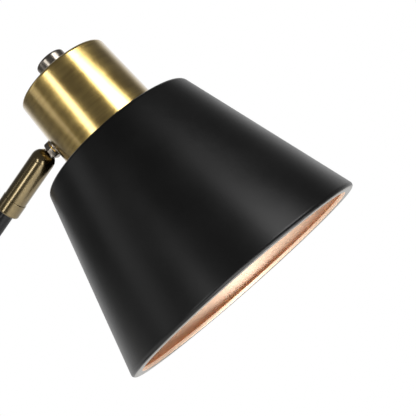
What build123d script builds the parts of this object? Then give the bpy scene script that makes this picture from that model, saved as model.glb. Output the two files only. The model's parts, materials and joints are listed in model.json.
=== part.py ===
from build123d import *

import os
from math import acos, atan2, cos, hypot, pi, radians, sin, tan

# Swing arm desk lamp: weighted round base, two jointed arms and a swivelling cone head.
# Millimetres, +Z up. The origin is the centre of the base's underside, where it meets the desk.
# The arms lie in the XZ plane and reach towards +X. Each function builds a sub-part in its own
# local frame, and the placing section at the end puts it into the lamp.

# ---------------------------------------------------------------- driving dimensions
# Fits
RUNNING_GAP = 0.05          # radial gap of a shaft that turns in its hole
LOOSE_GAP = 0.3             # gap between parts that only pass each other
CUT = 1.0                   # how far a cutting tool runs past the face it opens

# Pose at rest, as degrees from upright, positive towards +X
LOWER_ARM_LEAN = -22.0
UPPER_ARM_LEAN = 37.2
HEAD_LEAN = -43.0           # the head's own axis

# Base
BASE_RADIUS = 95.0
BASE_HEIGHT = 22.0
BASE_EDGE_RADIUS = 6.0
COVER_WALL = 1.2
PAD_THICKNESS = 2.0
PAD_INSET = 5.0
PLATE_THICKNESS = 1.6
WEIGHT_INSET = 8.0
POCKET_RADIUS = 16.0
POCKET_DEPTH = 10.0
PLATE_SCREW_COUNT = 3
PLATE_SCREW_CIRCLE = 70.0
PLATE_SCREW_RADIUS = 1.5
PLATE_SCREW_HEAD_RADIUS = 3.0
PLATE_SCREW_LENGTH = 9.0
NIPPLE_RADIUS = 5.0
NIPPLE_BORE = 3.5
NIPPLE_TAIL = 1.0           # thread showing past the nut
NIPPLE_SETBACK = 2.0        # its top below the spigot's
BASE_NUT_FLATS = 17.0
BASE_NUT_HEIGHT = 5.0
LOCK_WASHER_THICKNESS = 1.5
LOCK_WASHER_RADIUS = 9.0

# Cord inlet at the back of the base
CORD_HOLE_RADIUS = 3.0
GROMMET_NECK_RADIUS = 4.5
GROMMET_FLANGE_RADIUS = 6.2
GROMMET_FLANGE = 1.6
CORD_CHANNEL_WIDTH = 10.0

# Post and its swivel
SEAT_RADIUS = 20.0
SEAT_HEIGHT = 4.0
SEAT_EDGE_RADIUS = 1.5
SPIGOT_RADIUS = 7.2
SPIGOT_LENGTH = 18.0
SPIGOT_EDGE_RADIUS = 0.5
POST_RADIUS = 10.0
POST_FOOT_EDGE = 0.6
POST_WAIST_EDGE = 1.0
POST_WASHER = 0.8
POST_WASHER_LIP = 0.6       # how far the washer shows round the post
POST_END_GAP = 1.0          # between the spigot's end and the post's bore
POST_SHOULDER = 7.0         # solid brass between the spigot's bore and the fork
STOP_SCREW_RADIUS = 1.5
STOP_SCREW_BITE = 1.2       # how deep its tip rides in the groove
STOP_WEB = 8.0              # degrees of groove left uncut, as the end stop

# Knuckle joints of the arms
KNUCKLE_RADIUS = 7.7
KNUCKLE_REACH = 14.0        # from the pivot to where the round shank starts
KNUCKLE_SLOT = 6.0
KNUCKLE_FLATS = 12.8        # across the seats of the bolt head and nut
FRICTION_WASHER = 0.3
FRICTION_WASHER_RADIUS = 6.5
BOLT_RADIUS = 2.5
BOLT_HEAD_RADIUS = 4.6
BOLT_HEAD_HEIGHT = 2.8
BOLT_SLOT = 1.0
CAP_NUT_FLATS = 8.0
CAP_NUT_HEX = 4.0
CAP_NUT_DOME = 3.2
FERRULE_LENGTH = 24.0
TUBE_SEAT_DEPTH = 18.0
LEAD_BORE = 3.0
LEAD_BORE_START = 2.0       # from the shank's start

# Arms
ARM_LENGTH_LOWER = 240.0    # pivot to pivot
ARM_LENGTH_UPPER = 240.0
TUBE_RADIUS = 5.0
TUBE_WALL = 1.0
LEAD_RADIUS = 2.3

# Head swivel: a slotted round-nosed sleeve that turns on a collar
SLEEVE_RADIUS = 7.4
SLEEVE_LENGTH = 29.3        # pivot to the seam with the collar
SLEEVE_BORE = 5.2
SLEEVE_FLOOR = 6.5          # pivot to the top of that bore
COLLAR_RADIUS = 7.7
COLLAR_LENGTH = 9.6
COLLAR_EDGE_RADIUS = 1.2
COLLAR_SEAM_EDGE = 0.3
COLLAR_SPIGOT = 14.0
COLLAR_SPIGOT_EDGE = 0.5
COLLAR_SEAT_DEPTH = 7.5
SLEEVE_SCREW_RADIUS = 1.25
SLEEVE_SCREW_BITE = 0.9
PIN_RADIUS = 1.5
EYE_RADIUS = 4.2
EYE_THICKNESS = 4.6
EYE_WASHER = 0.35
NECK_WIDTH = 6.0
SWING_DOWN = 46.0           # how far the stem leans from the sleeve's line, mouth down
SWING_UP = 80.0             # and mouth up
STEM_RADIUS = 3.5
STEM_BORE = 2.0
STEM_TAIL = 1.5
STEM_FLOOR = 1.0            # solid metal between the neck and the bore

# Where the stem enters the head, from the cap's top centre
STEM_DROP = 27.4
NUT_FLATS = 10.0
NUT_HEIGHT = 3.4
NUT_CHAMFER = 0.3
WASHER_RADIUS = 5.6
WASHER_THICKNESS = 0.6
SADDLE_RADIUS = 6.2
SADDLE_THICKNESS = 1.0      # at the stem, where it is thinnest
SADDLE_SKIRT = 2.0          # how far its skirt can reach round the cap
LOCK_NUT_FLATS = 11.0
LOCK_NUT_HEIGHT = 2.5
INNER_WASHER_THICKNESS = 0.8
INNER_WASHER_RADIUS = 6.0

# Cap
CAP_TOP_RADIUS = 30.3
CAP_FOOT_RADIUS = 32.2
CAP_HEIGHT = 51.0
CAP_WALL = 1.2
CAP_EDGE_RADIUS = 1.6
FLOOR_THICKNESS = 1.5
BRACKET_THICKNESS = 1.5
BRACKET_BEND = 1.0          # inner radius of its bend
BRACKET_HALF_ANGLE = 20.0
BRACKET_HEAD = 8.0          # bracket above the stem's centre
RIVET_RADIUS = 1.2
RIVET_HEAD_RADIUS = 2.2
RIVET_HEAD_HEIGHT = 1.0
RIVET_SPREAD = 12.0         # degrees either side of the stem

# Shade
SHADE_TOP_RADIUS = 51.6
SHADE_MOUTH_RADIUS = 82.7
SHADE_HEIGHT = 110.5
SHADE_WALL = 0.8
SHADE_TOP_EDGE = 2.5
SHADE_MOUTH_EDGE = 2.0
HEM_WIDTH = 7.0
HEM_HEIGHT = 2.4
HEM_EDGE = 1.0

# Lampholder
HOLDER_NECK_RADIUS = 18.0
HOLDER_NECK = 20.0          # above its flange
HOLDER_FLANGE_RADIUS = 22.0
HOLDER_FLANGE = 3.0
HOLDER_SKIRT_RADIUS = 19.5
HOLDER_SKIRT = 12.0         # below the cap's floor plate
HOLDER_ROOF = 4.0
HOLDER_TOP_EDGE = 2.0
HOLDER_FLANGE_EDGE = 0.8
HOLDER_SKIRT_EDGE = 1.0
SHELL_RADIUS = 14.2
SHELL_WALL = 0.4
SHELL_HEIGHT = 24.0
CONTACT_RADIUS = 4.0
CONTACT_HEIGHT = 2.0
RING_RADIUS = 26.0
RING_HEIGHT = 5.0
RING_EDGE_RADIUS = 0.8
RING_NOTCHES = 16
RING_NOTCH_RADIUS = 1.2
TERMINAL_RADIUS = 2.2
TERMINAL_HEIGHT = 2.5
TERMINAL_SLOT = 0.8
TERMINAL_SLOT_DEPTH = 0.7
TERMINAL_SPREAD = 11.0

# Rotary switch on the cap's top
BUSH_RADIUS = 5.0
SWITCH_RADIUS = 10.5
SWITCH_HEIGHT = 13.0
SWITCH_EDGE_RADIUS = 1.0
SWITCH_NUT_RADIUS = 5.9
SWITCH_NUT_HEIGHT = 1.6
SWITCH_NUT_FLAT = 0.4       # how deep its two flats are cut
SPINDLE_RADIUS = 3.0
SPINDLE_DEPTH = 8.0         # inside the switch
KNOB_RADIUS = 9.5
KNOB_HEIGHT = 10.5
KNOB_EDGE_RADIUS = 1.4
KNOB_LIFT = 2.0             # underside above the cap's top
KNOB_SEAT = 8.0             # spindle inside the knob
TAG_WIDTH = 3.0
TAG_THICKNESS = 0.8
TAG_LENGTH = 5.0
TAG_SPREAD = 5.0

# Wires inside the cap
WIRE_RADIUS = 1.0
WIRE_BEND = 1.3
WIRE_DIP = 3.0              # below the switch tags
WIRE_LEAD_IN = 4.5          # straight stretch that reaches a tag's side

# Bulb
BULB_RADIUS = 30.0
BULB_LENGTH = 108.0
BULB_NECK_SHOWN = 2.0       # straight neck below the bulb's cap
BULB_NECK_SEAT = 4.0        # and inside it
BULB_GLASS = 0.9
BULB_CAP_RADIUS = 13.2
BULB_CAP_HEIGHT = 22.0
BULB_CAP_WALL = 0.5
BULB_INSULATOR_HEIGHT = 2.6
BULB_TIP_RADIUS = 4.6
BULB_TIP_HEIGHT = 1.4

# ---------------------------------------------------------------- derived levels
PLATE_LOW = PAD_THICKNESS
WEIGHT_LOW = PLATE_LOW + PLATE_THICKNESS
INLET_HEIGHT = WEIGHT_LOW + GROMMET_FLANGE_RADIUS + LOOSE_GAP / 2
WEIGHT_TOP = BASE_HEIGHT - COVER_WALL
POCKET_TOP = WEIGHT_LOW + POCKET_DEPTH
SPIGOT_LOW = BASE_HEIGHT + SEAT_HEIGHT
SPIGOT_TOP = SPIGOT_LOW + SPIGOT_LENGTH
POST_LOW = SPIGOT_LOW + POST_WASHER
POST_BORE_TOP = SPIGOT_TOP + POST_END_GAP
SHOULDER_HEIGHT = POST_BORE_TOP + POST_SHOULDER + KNUCKLE_REACH
TONGUE_THICKNESS = KNUCKLE_SLOT - 2 * FRICTION_WASHER
EYE_SLOT = EYE_THICKNESS + 2 * EYE_WASHER
FLOOR_TOP = -CAP_HEIGHT + FLOOR_THICKNESS
SHADE_ROOF = -CAP_HEIGHT - SHADE_WALL
SHADE_MOUTH = -CAP_HEIGHT - SHADE_HEIGHT
HOLDER_TOP = FLOOR_TOP + HOLDER_FLANGE + HOLDER_NECK
SHELL_TOP = HOLDER_TOP - HOLDER_ROOF
SHELL_MOUTH = SHELL_TOP - SHELL_HEIGHT
HOLDER_MOUTH = FLOOR_TOP - HOLDER_SKIRT
BULB_TOP = SHELL_TOP - CONTACT_HEIGHT
BULB_CAP_TOP = BULB_TOP - BULB_TIP_HEIGHT - BULB_INSULATOR_HEIGHT
BULB_CAP_LOW = BULB_CAP_TOP - BULB_CAP_HEIGHT
SWITCH_TOP = -CAP_WALL
SWITCH_LOW = SWITCH_TOP - SWITCH_HEIGHT

FROM_BASE = (Align.CENTER, Align.CENTER, Align.MIN)


def cap_radius(height):
    """Outer radius of the tapered cap at a height of the head's frame, zero at its top."""
    return CAP_TOP_RADIUS + (CAP_FOOT_RADIUS - CAP_TOP_RADIUS) * -height / CAP_HEIGHT


def cap_bore(height):
    """Inner radius of the cap at a height of the head's frame."""
    return cap_radius(height) - CAP_WALL


STEM_SEAT = cap_radius(-STEM_DROP)
NUT_FACE = STEM_SEAT + SADDLE_THICKNESS + WASHER_THICKNESS + NUT_HEIGHT
PIVOT_STANDOFF = SLEEVE_RADIUS + LOOSE_GAP      # the nut just clears the sleeve's round nose
PIVOT_REACH = NUT_FACE + PIVOT_STANDOFF


# ---------------------------------------------------------------- shape helpers
def rod(radius, low, high):
    """A round bar about local Z."""
    return Pos(0, 0, low) * Cylinder(radius, high - low, align=FROM_BASE)


def ring(outer, inner, low, high):
    """A round bar with a hole."""
    return Pos(0, 0, low) * extrude(Circle(outer) - Circle(inner), high - low)


def cross_rod(radius, low, high):
    """A round bar about local Y."""
    return Rot(-90, 0, 0) * rod(radius, low, high)


def hexagon(flats, low, high):
    """A hexagonal bar about local Z, corners on X."""
    return Pos(0, 0, low) * extrude(RegularPolygon(flats / 2, 6, major_radius=False), high - low)


def outline(*corners):
    """A face through (x, y) corners; a third value rounds that corner."""
    face = make_face(Polyline(*[corner[:2] for corner in corners], close=True))
    for x, y, radius in [corner for corner in corners if len(corner) == 3]:
        sharp = face.vertices().sort_by_distance((x, y, 0))[0]
        face = fillet(sharp, radius)
    return face


def turned(face, angle=360.0):
    """Revolves a (radius, height) face about local Z."""
    return revolve(Plane.XZ * face, Axis.Z, revolution_arc=angle)


def slab(face, thickness):
    """An XZ outline given thickness, half to each side of Y = 0."""
    return extrude(Plane.XZ * face, thickness / 2, both=True)


# ---------------------------------------------------------------- base
def base_pad():
    return rod(BASE_RADIUS - PAD_INSET, 0, PAD_THICKNESS)


def plate_screw_places():
    return PolarLocations(PLATE_SCREW_CIRCLE, PLATE_SCREW_COUNT)


def plate_screw():
    """Countersunk screw, head down."""
    head = Pos(0, 0, PLATE_LOW + PLATE_THICKNESS / 2) * Cone(
        PLATE_SCREW_HEAD_RADIUS, PLATE_SCREW_RADIUS, PLATE_THICKNESS
    )
    return head + rod(PLATE_SCREW_RADIUS, WEIGHT_LOW, WEIGHT_LOW + PLATE_SCREW_LENGTH)


def bottom_plate():
    plate = rod(BASE_RADIUS - COVER_WALL - LOOSE_GAP, PLATE_LOW, WEIGHT_LOW)
    return plate - [place * plate_screw() for place in plate_screw_places()]


def base_weight():
    """Cast disc with a pocket for the nut, a channel for the cord and tapped holes."""
    radius = BASE_RADIUS - WEIGHT_INSET
    disc = turned(
        outline(
            (NIPPLE_RADIUS + LOOSE_GAP, WEIGHT_LOW),
            (radius, WEIGHT_LOW),
            (radius, WEIGHT_TOP, BASE_EDGE_RADIUS),
            (NIPPLE_RADIUS + LOOSE_GAP, WEIGHT_TOP),
        )
    )
    disc -= rod(POCKET_RADIUS, WEIGHT_LOW - CUT, POCKET_TOP)
    channel = Box(
        BASE_RADIUS, CORD_CHANNEL_WIDTH, POCKET_DEPTH + CUT, align=(Align.MAX, Align.CENTER, Align.MIN)
    )
    disc -= Pos(0, 0, WEIGHT_LOW - CUT) * channel
    return disc - [place * plate_screw() for place in plate_screw_places()]


def inlet_place():
    """Local Z leaves the base towards the back."""
    return Pos(-BASE_RADIUS, 0, INLET_HEIGHT) * Rot(0, -90, 0)


def base_cover():
    """Spun steel cover with a rounded edge, open below."""
    cover = turned(
        outline(
            (NIPPLE_RADIUS + LOOSE_GAP, BASE_HEIGHT),
            (BASE_RADIUS, BASE_HEIGHT, BASE_EDGE_RADIUS),
            (BASE_RADIUS, PAD_THICKNESS),
            (BASE_RADIUS - COVER_WALL, PAD_THICKNESS),
            (BASE_RADIUS - COVER_WALL, WEIGHT_TOP, BASE_EDGE_RADIUS - COVER_WALL),
            (NIPPLE_RADIUS + LOOSE_GAP, WEIGHT_TOP),
        )
    )
    return cover - inlet_place() * rod(GROMMET_NECK_RADIUS, -2 * COVER_WALL, CUT)


def cord_grommet():
    """Rubber bush in the cover's wall: a flange each side of it and a smooth bore."""
    wall = ring(BASE_RADIUS, BASE_RADIUS - COVER_WALL, 0, BASE_HEIGHT)
    low = -COVER_WALL - GROMMET_FLANGE
    flanges = rod(GROMMET_FLANGE_RADIUS, low, GROMMET_FLANGE)
    edges = flanges.edges().filter_by(GeomType.CIRCLE)
    bush = inlet_place() * fillet(edges, GROMMET_FLANGE / 3)
    bush -= wall
    bush = bush + inlet_place() * rod(GROMMET_NECK_RADIUS, low, GROMMET_FLANGE / 2)
    return bush - inlet_place() * rod(CORD_HOLE_RADIUS, low - CUT, GROMMET_FLANGE + CUT)


def base_lock_washer():
    return ring(LOCK_WASHER_RADIUS, NIPPLE_RADIUS, POCKET_TOP - LOCK_WASHER_THICKNESS, POCKET_TOP)


def base_nut():
    top = POCKET_TOP - LOCK_WASHER_THICKNESS
    nut = hexagon(BASE_NUT_FLATS, top - BASE_NUT_HEIGHT, top)
    return nut - rod(NIPPLE_RADIUS, top - BASE_NUT_HEIGHT - CUT, top + CUT)


def base_nipple():
    """Hollow threaded rod that clamps seat, cover and weight together."""
    low = POCKET_TOP - LOCK_WASHER_THICKNESS - BASE_NUT_HEIGHT - NIPPLE_TAIL
    return ring(NIPPLE_RADIUS, NIPPLE_BORE, low, SPIGOT_TOP - NIPPLE_SETBACK)


def stop_groove(shaft_radius, bite, screw_radius, height):
    """Part-turn groove for a stop screw that rests at +Y; its uncut web faces -Y."""
    depth = bite + LOOSE_GAP
    half = screw_radius + LOOSE_GAP / 2
    section = outline(
        (shaft_radius - depth, height - half),
        (shaft_radius + CUT, height - half),
        (shaft_radius + CUT, height + half),
        (shaft_radius - depth, height + half),
    )
    return Rot(0, 0, -90 + STOP_WEB / 2) * turned(section, 360 - STOP_WEB)


STOP_HEIGHT = SPIGOT_LOW + SPIGOT_LENGTH / 2


def swivel_seat():
    """Turned brass flange and spigot that the post turns on."""
    body = turned(
        outline(
            (NIPPLE_RADIUS, BASE_HEIGHT),
            (SEAT_RADIUS, BASE_HEIGHT),
            (SEAT_RADIUS, SPIGOT_LOW, SEAT_EDGE_RADIUS),
            (SPIGOT_RADIUS, SPIGOT_LOW),
            (SPIGOT_RADIUS, SPIGOT_TOP, SPIGOT_EDGE_RADIUS),
            (NIPPLE_RADIUS, SPIGOT_TOP),
        )
    )
    return body - stop_groove(SPIGOT_RADIUS, STOP_SCREW_BITE, STOP_SCREW_RADIUS, STOP_HEIGHT)


# ---------------------------------------------------------------- knuckle joints
def fork(shank):
    """Slotted end of a knuckle, pivot at the origin, shank running down local Z."""
    bar = rod(KNUCKLE_RADIUS, -KNUCKLE_REACH - shank, 0) + cross_rod(
        KNUCKLE_RADIUS, -KNUCKLE_RADIUS, KNUCKLE_RADIUS
    )
    bar &= rod(KNUCKLE_RADIUS, -KNUCKLE_REACH - shank, KNUCKLE_RADIUS)
    slot = Box(4 * KNUCKLE_RADIUS, KNUCKLE_SLOT, 4 * KNUCKLE_RADIUS, align=FROM_BASE)
    bar -= Pos(0, 0, -KNUCKLE_REACH) * slot
    for side in (-1, 1):
        seat = cross_rod(KNUCKLE_RADIUS, 0, CUT + KNUCKLE_RADIUS)
        seat = Rot(0, 0, 90 - 90 * side) * Pos(0, KNUCKLE_FLATS / 2, 0) * seat
        bar -= seat
    return bar - cross_rod(BOLT_RADIUS, -2 * KNUCKLE_RADIUS, 2 * KNUCKLE_RADIUS)


def tongue(shank):
    """Flat eye that fits the fork, pivot at the origin, shank running up local Z."""
    flat = slab(
        Circle(KNUCKLE_RADIUS)
        + Pos(0, KNUCKLE_REACH / 2) * Rectangle(2 * KNUCKLE_RADIUS, KNUCKLE_REACH),
        TONGUE_THICKNESS,
    )
    bar = flat + rod(KNUCKLE_RADIUS, KNUCKLE_REACH, KNUCKLE_REACH + shank)
    return bar - cross_rod(BOLT_RADIUS + RUNNING_GAP, -KNUCKLE_RADIUS, KNUCKLE_RADIUS)


def tube_socket(length):
    """What a ferrule's shank loses: the tube's seat at its far end and the lead's bore."""
    far = KNUCKLE_REACH + length
    seat = rod(TUBE_RADIUS, far - TUBE_SEAT_DEPTH, far + CUT)
    return seat + rod(LEAD_BORE, KNUCKLE_REACH + LEAD_BORE_START, far)


def pivot_bolt():
    """Slotted round head at -Y, shank through both ears, thread into the cap nut."""
    seat = KNUCKLE_FLATS / 2
    head = cross_rod(BOLT_HEAD_RADIUS, -seat - BOLT_HEAD_HEIGHT, -seat)
    rim = head.edges().filter_by(GeomType.CIRCLE).sort_by(Axis.Y)[0]
    head = fillet(rim, BOLT_HEAD_HEIGHT / 3)
    slot = Box(3 * BOLT_HEAD_RADIUS, BOLT_SLOT, BOLT_SLOT)
    head -= Pos(0, -seat - BOLT_HEAD_HEIGHT + BOLT_SLOT / 2, 0) * slot
    return head + cross_rod(BOLT_RADIUS, -seat, seat + CAP_NUT_HEX)


def cap_nut():
    """Hexagonal nut with a closed dome."""
    seat = KNUCKLE_FLATS / 2
    nut = hexagon(CAP_NUT_FLATS, 0, CAP_NUT_HEX)
    across = CAP_NUT_FLATS / 2
    ball = (across**2 + CAP_NUT_DOME**2) / (2 * CAP_NUT_DOME)
    dome = Pos(0, 0, CAP_NUT_HEX + CAP_NUT_DOME - ball) * Sphere(ball)
    nut += dome & rod(across, CAP_NUT_HEX, CAP_NUT_HEX + CAP_NUT_DOME)
    nut -= rod(BOLT_RADIUS, -CUT, CAP_NUT_HEX)
    return Pos(0, seat, 0) * Rot(-90, 0, 0) * nut


def knuckle_washers():
    """The two thin friction washers between tongue and ears."""
    washer = ring(FRICTION_WASHER_RADIUS, BOLT_RADIUS + RUNNING_GAP, 0, FRICTION_WASHER)
    near = TONGUE_THICKNESS / 2
    return [Rot(turn, 0, 0) * Pos(0, 0, near) * washer for turn in (-90, 90)]


# ---------------------------------------------------------------- post
def post_washer():
    return ring(POST_RADIUS + POST_WASHER_LIP, SPIGOT_RADIUS + LOOSE_GAP, SPIGOT_LOW, POST_LOW)


def post():
    """Turned brass post: bored foot on the spigot, fork on top."""
    waist = POST_BORE_TOP + POST_SHOULDER / 2
    body = turned(
        outline(
            (0, POST_LOW),
            (POST_RADIUS, POST_LOW, POST_FOOT_EDGE),
            (POST_RADIUS, waist, POST_WAIST_EDGE),
            (KNUCKLE_RADIUS, waist + POST_RADIUS - KNUCKLE_RADIUS),
            (0, waist + POST_RADIUS - KNUCKLE_RADIUS),
        )
    )
    body += Pos(0, 0, SHOULDER_HEIGHT) * fork(POST_SHOULDER / 2)
    body -= rod(SPIGOT_RADIUS + RUNNING_GAP, POST_LOW - CUT, POST_BORE_TOP)
    body -= rod(LEAD_BORE, POST_BORE_TOP - CUT, SHOULDER_HEIGHT - KNUCKLE_REACH + CUT)
    return body - Pos(0, 0, STOP_HEIGHT) * cross_rod(STOP_SCREW_RADIUS, 0, 2 * POST_RADIUS)


def stop_screw(screw_radius, tip, tail):
    """Headless screw with a hexagon socket, lying along +Y from tip to tail."""
    screw = rod(screw_radius, tip, tail)
    screw -= hexagon(screw_radius, tail - screw_radius, tail + CUT)
    return Rot(-90, 0, 0) * screw


def post_stop_screw():
    tip = SPIGOT_RADIUS - STOP_SCREW_BITE
    return Pos(0, 0, STOP_HEIGHT) * stop_screw(STOP_SCREW_RADIUS, tip, POST_RADIUS - LOOSE_GAP)


# ---------------------------------------------------------------- arms
def arm_foot():
    """Tongue end of an arm, with the tube's seat above it."""
    return tongue(FERRULE_LENGTH) - tube_socket(FERRULE_LENGTH)


def elbow_fork():
    """Fork end of the lower arm, with the tube's seat below it."""
    return fork(FERRULE_LENGTH) - Rot(180, 0, 0) * tube_socket(FERRULE_LENGTH)


TUBE_START = KNUCKLE_REACH + FERRULE_LENGTH - TUBE_SEAT_DEPTH
LOWER_TUBE_END = ARM_LENGTH_LOWER - TUBE_START
COLLAR_FOOT = ARM_LENGTH_UPPER - SLEEVE_LENGTH - COLLAR_LENGTH
UPPER_TUBE_END = COLLAR_FOOT + COLLAR_SEAT_DEPTH
LEAD_SETBACK = 2.0


def arm_tube(end):
    return ring(TUBE_RADIUS, TUBE_RADIUS - TUBE_WALL, TUBE_START, end)


def arm_lead(end):
    """The straight stretch of the two-core lead inside a tube."""
    half = LEAD_RADIUS / 2
    cores = Pos(half, 0) * Circle(half) + Pos(-half, 0) * Circle(half) + Rectangle(half, half)
    low = TUBE_START + LEAD_SETBACK
    return Pos(0, 0, low) * extrude(cores, end - LEAD_SETBACK - low)


# ---------------------------------------------------------------- head swivel
def swivel_collar():
    """Collar on the tube's end, with the spigot that the sleeve turns on. Pivot at the origin."""
    seam = -SLEEVE_LENGTH
    foot = seam - COLLAR_LENGTH
    shaft = SLEEVE_BORE - RUNNING_GAP
    body = turned(
        outline(
            (0, foot),
            (COLLAR_RADIUS, foot, COLLAR_EDGE_RADIUS),
            (COLLAR_RADIUS, seam, COLLAR_SEAM_EDGE),
            (shaft, seam),
            (shaft, seam + COLLAR_SPIGOT, COLLAR_SPIGOT_EDGE),
            (0, seam + COLLAR_SPIGOT),
        )
    )
    body -= rod(TUBE_RADIUS, foot - CUT, foot + COLLAR_SEAT_DEPTH)
    body -= rod(LEAD_BORE, foot, seam + COLLAR_SPIGOT + CUT)
    return body - stop_groove(shaft, SLEEVE_SCREW_BITE, SLEEVE_SCREW_RADIUS, sleeve_screw_height())


def sleeve_screw_height():
    return -SLEEVE_LENGTH + COLLAR_SPIGOT / 2


def swing_slot():
    """The fan that the stem's neck sweeps, widened by a gap."""
    half = NECK_WIDTH / 2 + LOOSE_GAP
    far = 3 * SLEEVE_RADIUS
    down = radians(SWING_DOWN)
    up = radians(SWING_UP)
    right = Vector(half * cos(down), -half * sin(down))
    left = Vector(-half * cos(up), -half * sin(up))
    fan = make_face(
        Polyline(
            right,
            right + Vector(far * sin(down), far * cos(down)),
            Vector(0, 2 * far),
            left + Vector(-far * sin(up), far * cos(up)),
            left,
            close=True,
        )
    )
    return slab(fan + Circle(EYE_RADIUS + LOOSE_GAP), EYE_SLOT)


def sleeve_outside():
    """The sleeve's round-nosed outer form as one solid."""
    return rod(SLEEVE_RADIUS, -SLEEVE_LENGTH, 0) + Sphere(SLEEVE_RADIUS)


def swivel_sleeve():
    """Round-nosed sleeve with the stem's slot and the cross pin's hole. Pivot at the origin."""
    body = sleeve_outside() - rod(SLEEVE_BORE, -SLEEVE_LENGTH - CUT, -SLEEVE_FLOOR)
    body -= rod(STEM_BORE, -SLEEVE_FLOOR - CUT, 0)
    body -= swing_slot()
    body -= cross_rod(PIN_RADIUS, -2 * SLEEVE_RADIUS, 2 * SLEEVE_RADIUS)
    screw = cross_rod(SLEEVE_SCREW_RADIUS, 0, 2 * SLEEVE_RADIUS)
    return body - Pos(0, 0, sleeve_screw_height()) * screw


def sleeve_stop_screw():
    tip = SLEEVE_BORE - RUNNING_GAP - SLEEVE_SCREW_BITE
    screw = stop_screw(SLEEVE_SCREW_RADIUS, tip, SLEEVE_RADIUS - LOOSE_GAP)
    return Pos(0, 0, sleeve_screw_height()) * screw


def swivel_pin():
    """Cross pin with its ends dressed flush with the sleeve's round form."""
    return cross_rod(PIN_RADIUS, -SLEEVE_RADIUS, SLEEVE_RADIUS) & sleeve_outside()


def eye_washers():
    washer = ring(EYE_RADIUS - LOOSE_GAP, PIN_RADIUS + RUNNING_GAP, 0, EYE_WASHER)
    return [Rot(turn, 0, 0) * Pos(0, 0, EYE_THICKNESS / 2) * washer for turn in (-90, 90)]


# ---------------------------------------------------------------- head: local frame
# The head's local Z is its own axis, zero at the cap's top face, the mouth below.
# The stem enters from -X at STEM_DROP below the top, so its line is this local X axis.
STEM_LINE = Pos(0, 0, -STEM_DROP) * Rot(0, -90, 0)     # local Z leaves the head along -X


def cap_outside():
    """The cap's outer form as one solid."""
    flank = (CAP_FOOT_RADIUS, -CAP_HEIGHT)
    return turned(outline((0, 0), (CAP_TOP_RADIUS, 0), flank, (0, -CAP_HEIGHT)))


def stem_inner_wall():
    """Where the bracket's inner face meets the stem's line."""
    return STEM_SEAT - CAP_WALL - BRACKET_THICKNESS


def swivel_stem():
    """Eye, flat neck and hollow threaded stem that clamps the head to the swivel."""
    eye = slab(
        Circle(EYE_RADIUS) + Pos(0, PIVOT_STANDOFF / 2) * Rectangle(NECK_WIDTH, PIVOT_STANDOFF),
        EYE_THICKNESS,
    )
    eye -= cross_rod(PIN_RADIUS + RUNNING_GAP, -EYE_RADIUS, EYE_RADIUS)
    tail = stem_inner_wall() - INNER_WASHER_THICKNESS - LOCK_NUT_HEIGHT - STEM_TAIL
    stem = rod(STEM_RADIUS, PIVOT_STANDOFF, PIVOT_REACH - tail)
    stem -= rod(STEM_BORE, PIVOT_STANDOFF + STEM_FLOOR, PIVOT_REACH)
    return STEM_LINE * Pos(0, 0, PIVOT_REACH) * Rot(180, 0, 0) * (eye + stem)


def swivel_nut():
    nut = hexagon(NUT_FLATS, NUT_FACE - NUT_HEIGHT, NUT_FACE)
    chamfered = turned(
        outline(
            (0, NUT_FACE - NUT_HEIGHT - CUT),
            (NUT_FLATS, NUT_FACE - NUT_HEIGHT - CUT),
            (NUT_FLATS, NUT_FACE - NUT_FLATS / 2 + NUT_CHAMFER),
            (NUT_FLATS / 2 + NUT_CHAMFER, NUT_FACE),
            (0, NUT_FACE),
        )
    )
    nut = Rot(0, 0, 90) * nut & chamfered
    return STEM_LINE * (nut - rod(STEM_RADIUS, 0, 2 * NUT_FACE))


def swivel_washer():
    low = NUT_FACE - NUT_HEIGHT - WASHER_THICKNESS
    return STEM_LINE * ring(WASHER_RADIUS, STEM_RADIUS, low, low + WASHER_THICKNESS)


def swivel_saddle():
    """Coned washer whose inner face is hollowed to sit on the round cap."""
    top = STEM_SEAT + SADDLE_THICKNESS
    cone = turned(
        outline(
            (STEM_RADIUS, STEM_SEAT - SADDLE_SKIRT),
            (SADDLE_RADIUS, STEM_SEAT - SADDLE_SKIRT),
            (SADDLE_RADIUS, top - SADDLE_THICKNESS / 2),
            (WASHER_RADIUS, top),
            (STEM_RADIUS, top),
        )
    )
    return STEM_LINE * cone - cap_outside()


def stem_bracket():
    """Curved steel strip against the cap's wall, pressed flat where the lock nut bears."""
    top = -STEM_DROP + BRACKET_HEAD
    outer_top = cap_bore(top)
    outer_low = cap_bore(FLOOR_TOP)
    foot_end = HOLDER_FLANGE_RADIUS + LOOSE_GAP
    strip = outline(
        (foot_end, FLOOR_TOP),
        (outer_low, FLOOR_TOP),
        (outer_top, top),
        (outer_top - BRACKET_THICKNESS, top),
        (outer_low - BRACKET_THICKNESS, FLOOR_TOP + BRACKET_THICKNESS, BRACKET_BEND),
        (foot_end, FLOOR_TOP + BRACKET_THICKNESS),
    )
    strip = turned(strip, 2 * BRACKET_HALF_ANGLE)
    strip = Rot(0, 0, 180 - BRACKET_HALF_ANGLE) * strip
    strip -= STEM_LINE * rod(STEM_RADIUS, 0, 2 * STEM_SEAT)
    strip -= STEM_LINE * rod(INNER_WASHER_RADIUS + LOOSE_GAP, 0, stem_inner_wall())
    return strip - bracket_rivets()


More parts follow.
